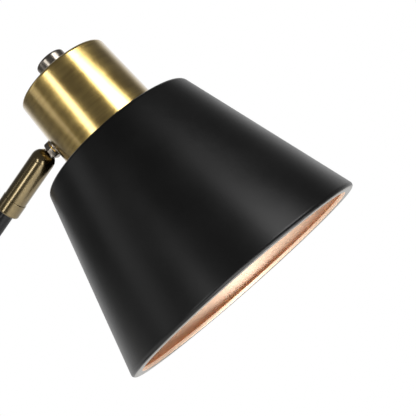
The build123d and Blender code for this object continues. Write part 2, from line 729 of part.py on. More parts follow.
def bracket_rivets():
    """Two rivets through the bracket's foot and the floor plate."""
    grip_top = FLOOR_TOP + BRACKET_THICKNESS
    circle = (HOLDER_FLANGE_RADIUS + cap_bore(FLOOR_TOP) - BRACKET_THICKNESS) / 2
    rivet = rod(RIVET_RADIUS, -CAP_HEIGHT, grip_top)
    head = rod(RIVET_HEAD_RADIUS, grip_top, grip_top + RIVET_HEAD_HEIGHT)
    rim = head.edges().filter_by(GeomType.CIRCLE).sort_by(Axis.Z)[-1]
    rivet += fillet(rim, RIVET_HEAD_HEIGHT / 2)
    turns = (180 - RIVET_SPREAD, 180 + RIVET_SPREAD)
    return [Rot(0, 0, turn) * Pos(circle, 0, 0) * rivet for turn in turns]


def inner_washer():
    """Shakeproof washer between bracket and lock nut."""
    top = stem_inner_wall()
    return STEM_LINE * ring(INNER_WASHER_RADIUS, STEM_RADIUS, top - INNER_WASHER_THICKNESS, top)


def lock_nut():
    top = stem_inner_wall() - INNER_WASHER_THICKNESS
    nut = hexagon(LOCK_NUT_FLATS, top - LOCK_NUT_HEIGHT, top)
    return STEM_LINE * (nut - rod(STEM_RADIUS, 0, 2 * STEM_SEAT))


def cap():
    """Spun brass cup, open below, with holes for the switch bush and the stem."""
    skin = turned(
        outline(
            (BUSH_RADIUS, 0),
            (CAP_TOP_RADIUS, 0, CAP_EDGE_RADIUS),
            (CAP_FOOT_RADIUS, -CAP_HEIGHT),
            (CAP_FOOT_RADIUS - CAP_WALL, -CAP_HEIGHT),
            (cap_bore(-CAP_WALL), -CAP_WALL, CAP_EDGE_RADIUS / 2),
            (BUSH_RADIUS, -CAP_WALL),
        )
    )
    return skin - STEM_LINE * rod(STEM_RADIUS, 0, 2 * CAP_FOOT_RADIUS)


def cap_floor_plate():
    """Steel disc that closes the cap and carries the lampholder and the bracket."""
    plate = turned(
        outline(
            (HOLDER_SKIRT_RADIUS, -CAP_HEIGHT),
            (cap_bore(-CAP_HEIGHT), -CAP_HEIGHT),
            (cap_bore(FLOOR_TOP), FLOOR_TOP),
            (HOLDER_SKIRT_RADIUS, FLOOR_TOP),
        )
    )
    return plate - bracket_rivets()


# ---------------------------------------------------------------- head: shade
def shade():
    """Spun steel cone with a flat top and a hem turned in at the mouth."""
    slope = atan2(SHADE_MOUTH_RADIUS - SHADE_TOP_RADIUS, SHADE_HEIGHT)
    level_wall = SHADE_WALL / cos(slope)        # wall measured level
    fall = tan(slope)                           # radius gained for each unit of depth
    top = -CAP_HEIGHT
    inner_top = SHADE_TOP_RADIUS - level_wall + SHADE_WALL * fall
    inner_mouth = SHADE_MOUTH_RADIUS - level_wall - SHADE_WALL * fall
    hem_out = SHADE_MOUTH_RADIUS - HEM_WIDTH
    hem_low = SHADE_MOUTH + SHADE_WALL
    hem_end = SHADE_MOUTH + HEM_HEIGHT
    skin = outline(
        (HOLDER_SKIRT_RADIUS, top),
        (SHADE_TOP_RADIUS, top, SHADE_TOP_EDGE),
        (SHADE_MOUTH_RADIUS, SHADE_MOUTH, SHADE_MOUTH_EDGE),
        (hem_out, SHADE_MOUTH, HEM_EDGE),
        (hem_out - HEM_HEIGHT * fall, hem_end),
        (hem_out - HEM_HEIGHT * fall + level_wall, hem_end),
        (hem_out - SHADE_WALL * fall + level_wall, hem_low, HEM_EDGE - SHADE_WALL),
        (inner_mouth, hem_low, SHADE_MOUTH_EDGE - SHADE_WALL),
        (inner_top, top - SHADE_WALL, SHADE_TOP_EDGE - SHADE_WALL),
        (HOLDER_SKIRT_RADIUS, top - SHADE_WALL),
    )
    return turned(skin)


def shade_ring():
    """Threaded ring that clamps the shade to the lampholder, notched for grip."""
    body = turned(
        outline(
            (HOLDER_SKIRT_RADIUS, SHADE_ROOF),
            (RING_RADIUS, SHADE_ROOF),
            (RING_RADIUS, SHADE_ROOF - RING_HEIGHT, RING_EDGE_RADIUS),
            (HOLDER_SKIRT_RADIUS, SHADE_ROOF - RING_HEIGHT),
        )
    )
    notch = rod(RING_NOTCH_RADIUS, SHADE_ROOF - RING_HEIGHT - CUT, SHADE_ROOF + CUT)
    return body - [place * notch for place in PolarLocations(RING_RADIUS, RING_NOTCHES)]


# ---------------------------------------------------------------- head: lampholder
def holder_terminal_places():
    return [Pos(side * TERMINAL_SPREAD, 0, 0) for side in (-1, 1)]


def lampholder():
    """Moulded holder: neck, flange on the floor plate, threaded skirt through the shade."""
    body = turned(
        outline(
            (0, HOLDER_TOP),
            (HOLDER_NECK_RADIUS, HOLDER_TOP, HOLDER_TOP_EDGE),
            (HOLDER_NECK_RADIUS, FLOOR_TOP + HOLDER_FLANGE),
            (HOLDER_FLANGE_RADIUS, FLOOR_TOP + HOLDER_FLANGE, HOLDER_FLANGE_EDGE),
            (HOLDER_FLANGE_RADIUS, FLOOR_TOP),
            (HOLDER_SKIRT_RADIUS, FLOOR_TOP),
            (HOLDER_SKIRT_RADIUS, HOLDER_MOUTH, HOLDER_SKIRT_EDGE),
            (SHELL_RADIUS, HOLDER_MOUTH, HOLDER_SKIRT_EDGE),
            (SHELL_RADIUS, SHELL_TOP),
            (0, SHELL_TOP),
        )
    )
    body -= rod(CONTACT_RADIUS / 2, SHELL_TOP - CUT, HOLDER_TOP + CUT)
    seat = rod(TERMINAL_RADIUS, HOLDER_TOP - TERMINAL_HEIGHT / 2, HOLDER_TOP + CUT)
    return body - [place * seat for place in holder_terminal_places()]


def holder_terminals():
    """Two slotted screws in the holder's top."""
    low = HOLDER_TOP - TERMINAL_HEIGHT / 2
    screw = rod(TERMINAL_RADIUS, low, low + TERMINAL_HEIGHT)
    slot = Box(3 * TERMINAL_RADIUS, TERMINAL_SLOT, 2 * TERMINAL_SLOT_DEPTH)
    screw -= Pos(0, 0, low + TERMINAL_HEIGHT) * slot
    return [place * screw for place in holder_terminal_places()]


def screw_shell():
    """Thin threaded brass shell that the bulb's cap screws into."""
    return ring(SHELL_RADIUS, SHELL_RADIUS - SHELL_WALL, SHELL_MOUTH, SHELL_TOP)


def centre_contact():
    """Brass contact under the holder's roof, with its rivet through it."""
    pad = rod(CONTACT_RADIUS, SHELL_TOP - CONTACT_HEIGHT, SHELL_TOP)
    return pad + rod(CONTACT_RADIUS / 2, SHELL_TOP, HOLDER_TOP)


# ---------------------------------------------------------------- head: bulb
def bulb_insulator():
    """Black glass between the bulb's cap and its tip."""
    return turned(
        outline(
            (0, BULB_CAP_TOP),
            (BULB_CAP_RADIUS - BULB_CAP_WALL, BULB_CAP_TOP),
            (BULB_TIP_RADIUS, BULB_CAP_TOP + BULB_INSULATOR_HEIGHT),
            (0, BULB_CAP_TOP + BULB_INSULATOR_HEIGHT),
        )
    )


def bulb_tip():
    low = BULB_CAP_TOP + BULB_INSULATOR_HEIGHT
    body = rod(BULB_TIP_RADIUS, low, BULB_TOP)
    return fillet(body.edges().filter_by(GeomType.CIRCLE).sort_by(Axis.Z)[-1], BULB_TIP_HEIGHT / 2)


def bulb_cap():
    """The bulb's metal screw cap, open at both ends."""
    return ring(BULB_CAP_RADIUS, BULB_CAP_RADIUS - BULB_CAP_WALL, BULB_CAP_LOW, BULB_CAP_TOP)


def bulb_form(grow):
    """Half outline of the bulb: round end, straight flank tangent to it, neck in the cap."""
    radius = BULB_RADIUS + grow
    neck = BULB_CAP_RADIUS - BULB_CAP_WALL + grow
    centre = BULB_TOP - BULB_LENGTH + BULB_RADIUS
    flank_top = BULB_CAP_LOW - BULB_NECK_SHOWN
    rise = flank_top - centre
    reach = hypot(rise, neck)
    angle = atan2(rise, neck) - acos(radius / reach)
    touch = (radius * cos(angle), centre + radius * sin(angle))
    mid = (angle - pi / 2) / 2
    round_end = ThreePointArc(
        touch, (radius * cos(mid), centre + radius * sin(mid)), (0, centre - radius)
    )
    neck_top = BULB_CAP_LOW + BULB_NECK_SEAT
    sides = Polyline((0, centre - radius), (0, neck_top), (neck, neck_top), (neck, flank_top), touch)
    return make_face(round_end + sides)


def bulb_glass():
    """Pear-shaped frosted envelope, open in the cap."""
    inner = bulb_form(-BULB_GLASS)
    hollow = turned(inner) + rod(BULB_CAP_RADIUS - BULB_CAP_WALL - BULB_GLASS, BULB_CAP_LOW, BULB_CAP_TOP)
    return turned(bulb_form(0)) - hollow


# ---------------------------------------------------------------- head: switch and wires
def switch_body():
    """Moulded rotary switch with its threaded bush through the cap."""
    case = rod(SWITCH_RADIUS, SWITCH_LOW, SWITCH_TOP)
    case = fillet(case.edges().filter_by(GeomType.CIRCLE).sort_by(Axis.Z)[0], SWITCH_EDGE_RADIUS)
    bush = rod(BUSH_RADIUS, SWITCH_TOP, SWITCH_NUT_HEIGHT)
    bore = rod(SPINDLE_RADIUS + RUNNING_GAP, SWITCH_TOP - SPINDLE_DEPTH, SWITCH_NUT_HEIGHT + CUT)
    return case + bush - bore


def switch_nut():
    """Thin round nut that holds the switch to the cap, with two spanner flats."""
    nut = ring(SWITCH_NUT_RADIUS, BUSH_RADIUS, 0, SWITCH_NUT_HEIGHT)
    flats = Box(2 * (SWITCH_NUT_RADIUS - SWITCH_NUT_FLAT), 4 * SWITCH_NUT_RADIUS, 4 * SWITCH_NUT_HEIGHT)
    return nut & flats


def switch_tag_places():
    return [Pos(0, side * TAG_SPREAD, 0) for side in (-1, 1)]


def switch_tags():
    """Two flat solder tags below the switch."""
    tag = Box(TAG_WIDTH, TAG_THICKNESS, TAG_LENGTH, align=(Align.CENTER, Align.CENTER, Align.MAX))
    return [place * Pos(0, 0, SWITCH_LOW) * tag for place in switch_tag_places()]


def switch_spindle():
    """Round spindle with a flat where the knob grips it."""
    low = SWITCH_TOP - SPINDLE_DEPTH + LOOSE_GAP
    spindle = rod(SPINDLE_RADIUS, low, KNOB_LIFT + KNOB_SEAT)
    return spindle - spindle_flat()


def spindle_flat():
    flat = Box(SPINDLE_RADIUS, 4 * SPINDLE_RADIUS, KNOB_SEAT, align=(Align.MIN, Align.CENTER, Align.MIN))
    return Pos(SPINDLE_RADIUS / 2, 0, KNOB_LIFT) * flat


def switch_knob():
    """Smooth round knob pressed on the spindle."""
    body = turned(
        outline(
            (0, KNOB_LIFT),
            (KNOB_RADIUS, KNOB_LIFT),
            (KNOB_RADIUS, KNOB_LIFT + KNOB_HEIGHT, KNOB_EDGE_RADIUS),
            (0, KNOB_LIFT + KNOB_HEIGHT),
        )
    )
    socket = rod(SPINDLE_RADIUS, KNOB_LIFT - CUT, KNOB_LIFT + KNOB_SEAT) - spindle_flat()
    return body - socket


def wire(points, bend):
    """A round insulated wire along straight runs and arcs."""
    path = FilletPolyline(*points, radius=bend)
    start = Plane(path @ 0, z_dir=path % 0)
    return sweep(start * Circle(WIRE_RADIUS), path)


def head_wires():
    """Stem to switch, switch to holder and stem to holder."""
    tail = stem_inner_wall() - INNER_WASHER_THICKNESS - LOCK_NUT_HEIGHT - STEM_TAIL
    rise = (HOLDER_NECK_RADIUS + tail) / 2          # in the space between holder and stem
    core = WIRE_RADIUS + RUNNING_GAP                # half the spacing of the two cores
    tag = SWITCH_LOW - TAG_LENGTH
    upper = SWITCH_LOW - TAG_LENGTH / 2             # height of the runs from the stem
    lower = tag - WIRE_DIP                          # height of the run from the switch
    side = -TAG_WIDTH / 2
    screw = HOLDER_TOP + TERMINAL_HEIGHT / 2
    routes = (
        ((-tail, -core, -STEM_DROP), (-rise, -core, -STEM_DROP), (-rise, -core, upper),
         (side - WIRE_LEAD_IN, -TAG_SPREAD, upper), (side, -TAG_SPREAD, upper)),
        ((0, TAG_SPREAD, tag), (0, TAG_SPREAD, lower),
         (TERMINAL_SPREAD, 0, lower), (TERMINAL_SPREAD, 0, screw)),
        ((-tail, core, -STEM_DROP), (-rise, core, -STEM_DROP), (-rise, core, upper),
         (-TERMINAL_SPREAD, 0, upper), (-TERMINAL_SPREAD, 0, screw)),
    )
    return [wire(points, WIRE_BEND) for points in routes]


# ---------------------------------------------------------------- placing
SHOULDER = Pos(0, 0, SHOULDER_HEIGHT)
LOWER_ARM = SHOULDER * Rot(0, LOWER_ARM_LEAN, 0)
ELBOW = LOWER_ARM * Pos(0, 0, ARM_LENGTH_LOWER) * Rot(0, -LOWER_ARM_LEAN, 0)
UPPER_ARM = ELBOW * Rot(0, UPPER_ARM_LEAN, 0)
SWIVEL = UPPER_ARM * Pos(0, 0, ARM_LENGTH_UPPER)
LEVEL_SWIVEL = SWIVEL * Rot(0, -UPPER_ARM_LEAN, 0)
HEAD = LEVEL_SWIVEL * Rot(0, HEAD_LEAN, 0) * Pos(PIVOT_REACH, 0, STEM_DROP)
HERE = Pos(0, 0, 0)

PARTS = {
    "base_pad": (HERE, base_pad()),
    "bottom_plate": (HERE, bottom_plate()),
    "bottom_plate_screws": (HERE, [place * plate_screw() for place in plate_screw_places()]),
    "base_weight": (HERE, base_weight()),
    "base_cover": (HERE, base_cover()),
    "cord_grommet": (HERE, cord_grommet()),
    "base_nipple": (HERE, base_nipple()),
    "base_lock_washer": (HERE, base_lock_washer()),
    "base_nut": (HERE, base_nut()),
    "swivel_seat": (HERE, swivel_seat()),
    "post_washer": (HERE, post_washer()),
    "post": (HERE, post()),
    "post_stop_screw": (HERE, post_stop_screw()),
    "shoulder_bolt": (SHOULDER, pivot_bolt()),
    "shoulder_cap_nut": (SHOULDER, cap_nut()),
    "shoulder_friction_washers": (SHOULDER, knuckle_washers()),
    "lower_arm_foot": (LOWER_ARM, arm_foot()),
    "lower_arm_tube": (LOWER_ARM, arm_tube(LOWER_TUBE_END)),
    "lower_arm_lead": (LOWER_ARM, arm_lead(LOWER_TUBE_END)),
    "elbow_fork": (LOWER_ARM * Pos(0, 0, ARM_LENGTH_LOWER), elbow_fork()),
    "elbow_bolt": (ELBOW, pivot_bolt()),
    "elbow_cap_nut": (ELBOW, cap_nut()),
    "elbow_friction_washers": (ELBOW, knuckle_washers()),
    "upper_arm_foot": (UPPER_ARM, arm_foot()),
    "upper_arm_tube": (UPPER_ARM, arm_tube(UPPER_TUBE_END)),
    "upper_arm_lead": (UPPER_ARM, arm_lead(UPPER_TUBE_END)),
    "swivel_collar": (SWIVEL, swivel_collar()),
    "swivel_sleeve": (SWIVEL, swivel_sleeve()),
    "swivel_stop_screw": (SWIVEL, sleeve_stop_screw()),
    "swivel_pin": (SWIVEL, swivel_pin()),
    "swivel_friction_washers": (SWIVEL, eye_washers()),
    "swivel_stem": (HEAD, swivel_stem()),
    "swivel_nut": (HEAD, swivel_nut()),
    "swivel_washer": (HEAD, swivel_washer()),
    "swivel_saddle_washer": (HEAD, swivel_saddle()),
    "stem_bracket": (HEAD, stem_bracket()),
    "bracket_rivets": (HEAD, bracket_rivets()),
    "stem_lock_washer": (HEAD, inner_washer()),
    "stem_lock_nut": (HEAD, lock_nut()),
    "cap": (HEAD, cap()),
    "cap_floor_plate": (HEAD, cap_floor_plate()),
    "shade": (HEAD, shade()),
    "shade_ring": (HEAD, shade_ring()),
    "lampholder": (HEAD, lampholder()),
    "holder_terminals": (HEAD, holder_terminals()),
    "screw_shell": (HEAD, screw_shell()),
    "centre_contact": (HEAD, centre_contact()),
    "bulb_tip": (HEAD, bulb_tip()),
    "bulb_insulator": (HEAD, bulb_insulator()),
    "bulb_cap": (HEAD, bulb_cap()),
    "bulb_glass": (HEAD, bulb_glass()),
    "switch_body": (HEAD, switch_body()),
    "switch_nut": (HEAD, switch_nut()),
    "switch_tags": (HEAD, switch_tags()),
    "head_wires": (HEAD, head_wires()),
    "switch_spindle": (HEAD, switch_spindle()),
    "switch_knob": (HEAD, switch_knob()),
}

os.makedirs("parts", exist_ok=True)
for name, (place, shape) in PARTS.items():
    pieces = shape if isinstance(shape, list) else [shape]
    placed = [place * piece for piece in pieces]
    export_step(placed[0] if len(placed) == 1 else Compound(placed), f"parts/{name}.step")

for name, place in {"shoulder": SHOULDER, "elbow": ELBOW, "head swivel": SWIVEL, "head": HEAD}.items():
    spot = place.position
    print(f"{name}: ({spot.X:.4f}, {spot.Y:.4f}, {spot.Z:.4f})")
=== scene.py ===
import json
from math import acos, atan2, cos, hypot, pi, radians, sin, tan

import bmesh
import bpy
from mathutils import Matrix, Vector


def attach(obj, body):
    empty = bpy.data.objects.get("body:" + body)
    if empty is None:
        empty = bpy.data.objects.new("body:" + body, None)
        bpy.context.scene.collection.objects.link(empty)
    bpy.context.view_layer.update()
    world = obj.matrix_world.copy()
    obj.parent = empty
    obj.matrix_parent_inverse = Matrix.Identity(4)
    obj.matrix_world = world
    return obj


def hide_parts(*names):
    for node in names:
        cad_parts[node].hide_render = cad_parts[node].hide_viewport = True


# Swing arm desk lamp in black powder coat and antique brass. Metres, +Z up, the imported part's frame.
# Sizes in the piece tables are millimetres; MM turns them to metres.
MM = 0.001

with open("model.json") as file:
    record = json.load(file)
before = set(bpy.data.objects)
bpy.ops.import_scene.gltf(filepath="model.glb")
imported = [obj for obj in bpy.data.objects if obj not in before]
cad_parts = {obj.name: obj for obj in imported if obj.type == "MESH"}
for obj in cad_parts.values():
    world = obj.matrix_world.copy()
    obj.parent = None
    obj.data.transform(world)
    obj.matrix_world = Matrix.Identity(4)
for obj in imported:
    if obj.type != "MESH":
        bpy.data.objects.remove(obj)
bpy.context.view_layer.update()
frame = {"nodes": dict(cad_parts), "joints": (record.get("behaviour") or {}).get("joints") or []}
joints = {joint["name"]: joint for joint in frame["joints"]}


def leaning_frame(spot, axis):
    """Local frame in the lamp's middle plane: Z along the axis, Y level across the lamp."""
    up = Vector(axis).normalized()
    across = Vector((0, 1, 0))
    turn = Matrix((across.cross(up), across, up)).transposed().to_4x4()
    return Matrix.Translation(spot) @ turn


def joint_spot(name):
    """Where a joint lies, in metres."""
    return Vector(joints[name]["pos_m"])


# Each arm's frame starts at its lower joint; the swivel's starts where it turns on the upper arm.
SHOULDER = joint_spot("shoulder_tilt")
ELBOW = joint_spot("elbow_tilt")
UPRIGHT = Matrix.Identity(4)
LOWER_ARM = leaning_frame(SHOULDER, ELBOW - SHOULDER)
UPPER_ARM = leaning_frame(ELBOW, joint_spot("head_swivel") - ELBOW)
SWIVEL = leaning_frame(joint_spot("head_swivel"), joints["head_swivel"]["axis"])
# The head's frame: zero at the centre of the cap's top, the mouth below.
HEAD = leaning_frame(joint_spot("switch_turn"), joints["switch_turn"]["axis"])


# ---------------------------------------------------------------- camera
CAMERA_AZIMUTH, CAMERA_ELEVATION = 15.9, 4.05
CAMERA_LENS, CAMERA_SENSOR = 93.6, 36.0
# From the cap's top to the camera, along the camera's own directions: below it and nearer.
CAMERA_RIGHT, CAMERA_ABOVE, CAMERA_BEYOND = 85.0, -77.8, -632.8


def place_camera():
    """Camera without roll, well over half a metre from the head, looking slightly down."""
    azimuth, elevation = radians(CAMERA_AZIMUTH), radians(CAMERA_ELEVATION)
    right = Vector((cos(azimuth), sin(azimuth), 0))
    ahead = Vector((-sin(azimuth) * cos(elevation), cos(azimuth) * cos(elevation), -sin(elevation)))
    up = right.cross(ahead)
    camera = bpy.data.objects.new("camera", bpy.data.cameras.new("camera"))
    bpy.context.scene.collection.objects.link(camera)
    camera.data.sensor_width = CAMERA_SENSOR
    camera.data.lens = CAMERA_LENS
    camera.data.clip_start = 0.02
    turn = Matrix((right, up, -ahead)).transposed().to_4x4()
    from_head = (CAMERA_RIGHT * right + CAMERA_ABOVE * up + CAMERA_BEYOND * ahead) * MM
    camera.matrix_world = Matrix.Translation(joint_spot("switch_turn") + from_head) @ turn
    bpy.context.scene.camera = camera
    return right, up, ahead


RIGHT, UP, AHEAD = place_camera()


# ---------------------------------------------------------------- node helpers
def colour(code):
    """An sRGB hex colour as linear red, green, blue and alpha."""
    parts = [int(code[i:i + 2], 16) / 255 for i in (1, 3, 5)]
    linear = [c / 12.92 if c <= 0.04045 else ((c + 0.055) / 1.055) ** 2.4 for c in parts]
    return (*linear, 1.0)


def add(tree, kind, inputs=None, **settings):
    """Adds one node with its settings; an input is given a value or another node's output."""
    made = tree.nodes.new(kind)
    for name, value in settings.items():
        setattr(made, name, value)
    for name, value in (inputs or {}).items():
        if isinstance(value, bpy.types.NodeSocket):
            tree.links.new(value, made.inputs[name])
        else:
            made.inputs[name].default_value = value
    return made


def new_material(name):
    """A material with an empty node tree."""
    material = bpy.data.materials.new(name)
    material.use_nodes = True
    material.node_tree.nodes.clear()
    return material


# ---------------------------------------------------------------- finishes
# Two noises added together lie between these, so a finish runs from dark to light over this span.
TONE_SPAN = {"From Min": 0.75, "From Max": 1.25}


def finish(name, dark, light, rough, blotch=8.0, grain=0.5, relief=0.01, along=None, **shader):
    """A finish on one shader. Its tone wanders from dark to light over blotches, its roughness
    between two limits, and a grain gives it relief; blotch, grain and relief are millimetres.
    Along draws the grain out round a turned piece: streaks of that many to a radian."""
    material = new_material(name)
    tree = material.node_tree
    place = add(tree, "ShaderNodeTexCoord").outputs["Object"]
    tones = add(tree, "ShaderNodeTexNoise", {"Vector": place, "Scale": 1 / (blotch * MM),
                                             "Detail": 3.0, "Roughness": 0.55})
    fine_place = place
    fine_scale = 1 / (grain * MM)
    if along:
        turning = add(tree, "ShaderNodeAttribute", attribute_name="turning").outputs["Vector"]
        drawn = add(tree, "ShaderNodeVectorMath", {0: turning, 1: (along, along, fine_scale)},
                    operation="MULTIPLY")
        fine_place = drawn.outputs[0]
        fine_scale = 1.0
    fine = add(tree, "ShaderNodeTexNoise", {"Vector": fine_place, "Scale": fine_scale,
                                            "Detail": 4.0, "Roughness": 0.6})
    both = add(tree, "ShaderNodeMath", {0: tones.outputs["Fac"], 1: fine.outputs["Fac"]},
               operation="ADD")
    share = add(tree, "ShaderNodeMapRange", {"Value": both.outputs[0], **TONE_SPAN})
    mixed = add(tree, "ShaderNodeMix", {0: share.outputs[0], 6: colour(dark), 7: colour(light)},
                data_type="RGBA")
    dull = add(tree, "ShaderNodeMapRange", {"Value": both.outputs[0], **TONE_SPAN,
                                            "To Min": rough[0], "To Max": rough[1]})
    bump = add(tree, "ShaderNodeBump", {"Height": fine.outputs["Fac"], "Distance": relief * MM,
                                        "Strength": 1.0})
    surface = add(tree, "ShaderNodeBsdfPrincipled", {"Base Color": mixed.outputs[2],
                                                     "Roughness": dull.outputs[0],
                                                     "Normal": bump.outputs[0], **shader})
    add(tree, "ShaderNodeOutputMaterial", {"Surface": surface.outputs[0]})
    return material


# Polyester powder coat on steel: near black, satin, with the faint orange peel that the powder
# leaves as it flows, pips about a millimetre apart.
black_powder_coat = finish("black_powder_coat", "#060606", "#0a0a0a", (0.29, 0.37), blotch=30.0,
                           grain=0.9, relief=0.006, **{"IOR": 1.5, "Specular IOR Level": 0.3})

# Metallic lacquer sprayed inside the shade: fine aluminium flake in a rose copper tint, satin.
rose_copper_lacquer = finish("rose_copper_lacquer", "#e0c0a6", "#ebceb5", (0.44, 0.5), blotch=18.0,
                             grain=0.35, relief=0.0003, **{"Metallic": 0.6, "Coat Weight": 0.2,
                                                          "Coat Roughness": 0.35})

# Silvery satin steel on the hem's face, a painted reflection: it stands for the grey sheen that the
# black paint there shows at a grazing angle.
painted_reflection_steel = finish("painted_reflection_steel", "#7d7a75", "#95928c", (0.28, 0.36), blotch=12.0, grain=0.4,
                    relief=0.001, **{"Metallic": 1.0})

# Spun brass brushed round on the lathe, toned to an antique gold and lacquered: fine rings, and
# highlights drawn out across them. Real lines are about 0.1 mm apart; here 0.6 mm, so they show.
brushed_antique_brass = finish("brushed_antique_brass", "#a88b45", "#c9ad64", (0.2, 0.27),
                               blotch=14.0, grain=0.6, relief=0.005, along=1.2,
                               **{"Metallic": 1.0, "Coat Weight": 1.0, "Coat Roughness": 0.16,
                                  "Coat IOR": 1.65})

# Turned brass, polished and toned darker: brown in the shadows, clear streaks in the light.
polished_antique_brass = finish("polished_antique_brass", "#6c5e40", "#7b6c4b", (0.2, 0.22),
                                blotch=9.0, grain=0.12, relief=0.0002,
                                **{"Metallic": 1.0, "Coat Weight": 0.6, "Coat Roughness": 0.1})

# The same brass left raw and bright on thin washers.
bright_brass = finish("bright_brass", "#b98e45", "#d8b062", (0.16, 0.26), blotch=3.0, grain=0.3,
                      relief=0.003, **{"Metallic": 1.0})

# Black nickel plate on turned steel: a warm pewter grey mirror, slightly misty.
black_nickel = finish("black_nickel", "#7d766d", "#968e84", (0.22, 0.28), blotch=4.0, grain=0.25,
                      relief=0.003, **{"Metallic": 1.0})

# Bright zinc plate on pressed steel: cool grey, soft, with a faint blue bloom.
zinc_plate = finish("zinc_plate", "#8d9296", "#b2b7bb", (0.28, 0.42), blotch=6.0, grain=0.4,
                    relief=0.005, **{"Metallic": 1.0})

# Grey iron as cast in sand: dark, rough and pitted.
sand_cast_iron = finish("sand_cast_iron", "#2b2a29", "#45423f", (0.6, 0.85), blotch=9.0, grain=1.2,
                        relief=0.25, **{"Metallic": 0.7})

# Pressed wool felt under the base: black, no shine, short fuzz.
wool_felt = finish("wool_felt", "#0c0c0d", "#1d1d1f", (0.92, 1.0), blotch=5.0, grain=0.35, relief=0.12,
                   **{"Sheen Weight": 0.35, "Sheen Roughness": 0.6, "Specular IOR Level": 0.2})

# Moulded black rubber bush: matt, faintly greyed.
black_rubber = finish("black_rubber", "#121212", "#1d1d1c", (0.55, 0.72), blotch=4.0, grain=0.3,
                      relief=0.01, **{"Specular IOR Level": 0.4})

# Phenolic moulding of the lampholder and switch: deep brown black with a soft moulded gloss.
phenolic = finish("phenolic", "#120e0c", "#1f1814", (0.28, 0.42), blotch=6.0, grain=0.5, relief=0.006,
                  **{"IOR": 1.6})

# Clear nylon friction washers, gone milky.
milky_nylon = finish("milky_nylon", "#c9c5b8", "#dedacf", (0.4, 0.55), blotch=3.0, grain=0.3,
                     relief=0.004, **{"Subsurface Weight": 0.2, "Subsurface Scale": 0.002})

# Drawn brass of the screw shell and contacts, clean inside the holder.
drawn_brass = finish("drawn_brass", "#b08a45", "#cfaa62", (0.25, 0.4), blotch=4.0, grain=0.3,
                     relief=0.004, **{"Metallic": 1.0})

# Rolled aluminium cap of the bulb: pale and satin.
rolled_aluminium = finish("rolled_aluminium", "#b4b6b8", "#d0d2d3", (0.3, 0.45), blotch=4.0, grain=0.3,
                          relief=0.004, **{"Metallic": 1.0})

# Opal bulb glass, white coated inside: smooth outside, milky depth.
opal_glass = finish("opal_glass", "#ecebe6", "#f6f5f1", (0.12, 0.2), blotch=20.0, grain=1.5,
                    relief=0.002, **{"IOR": 1.5, "Subsurface Weight": 0.5, "Subsurface Scale": 0.01})

# Black glass insulator and its soldered tip.
black_glass = finish("black_glass", "#08080a", "#101014", (0.1, 0.16), blotch=4.0, grain=0.5,
                     relief=0.002)
soft_solder = finish("soft_solder", "#8b8d8f", "#a9abad", (0.35, 0.55), blotch=2.0, grain=0.5,
                     relief=0.02, **{"Metallic": 1.0})

# Extruded PVC on the wires: plain black, slightly soft gloss.
wire_pvc = finish("wire_pvc", "#141414", "#1e1e1e", (0.35, 0.5), blotch=5.0, grain=0.6, relief=0.004)


# ---------------------------------------------------------------- turned and spun pieces
ROUND_STEP = 11  # degrees of a rounded corner to one facet
ROUND_STEPS_LEAST = 3
LONG_RUN = 1.6  # a straight longer than this gets its end points
END_POINT = 0.3


def half_profile(corners, closed=False):
    """Points of a half profile through (radius, height) corners; a third number rounds a corner.
    Long straight runs get a point close to each end, so that their shading stays flat."""
    points = []
    count = len(corners)
    for i, corner in enumerate(corners):
        here = Vector(corner[:2])
        radius = corner[2] if len(corner) == 3 else 0.0
        if not radius or not closed and i in (0, count - 1):
            points.append(here)
            continue
        back = (Vector(corners[i - 1][:2]) - here).normalized()
        on = (Vector(corners[(i + 1) % count][:2]) - here).normalized()
        half = acos(max(-1.0, min(1.0, back.dot(on)))) / 2
        start = here + back * (radius / tan(half))
        centre = here + (back + on).normalized() * (radius / sin(half))
        sweep = pi - 2 * half
        arm = start - centre
        way = 1 if back.x * on.y - back.y * on.x < 0 else -1
        steps = max(ROUND_STEPS_LEAST, int(sweep / radians(ROUND_STEP)))
        for step in range(steps + 1):
            angle = way * sweep * step / steps
            points.append(centre + Vector((arm.x * cos(angle) - arm.y * sin(angle),
                                           arm.x * sin(angle) + arm.y * cos(angle))))
    if closed:
        points.append(points[0].copy())
    eased = [points[0]]
    for before, after in zip(points, points[1:]):
        run = (after - before).length
        if run > LONG_RUN:
            step = (after - before) * (END_POINT / run)
            eased += [before + step, after - step]
        eased.append(after)
    return eased


SEAM_GAP = 1e-6  # metres, within which the points of a seam or a pole become one


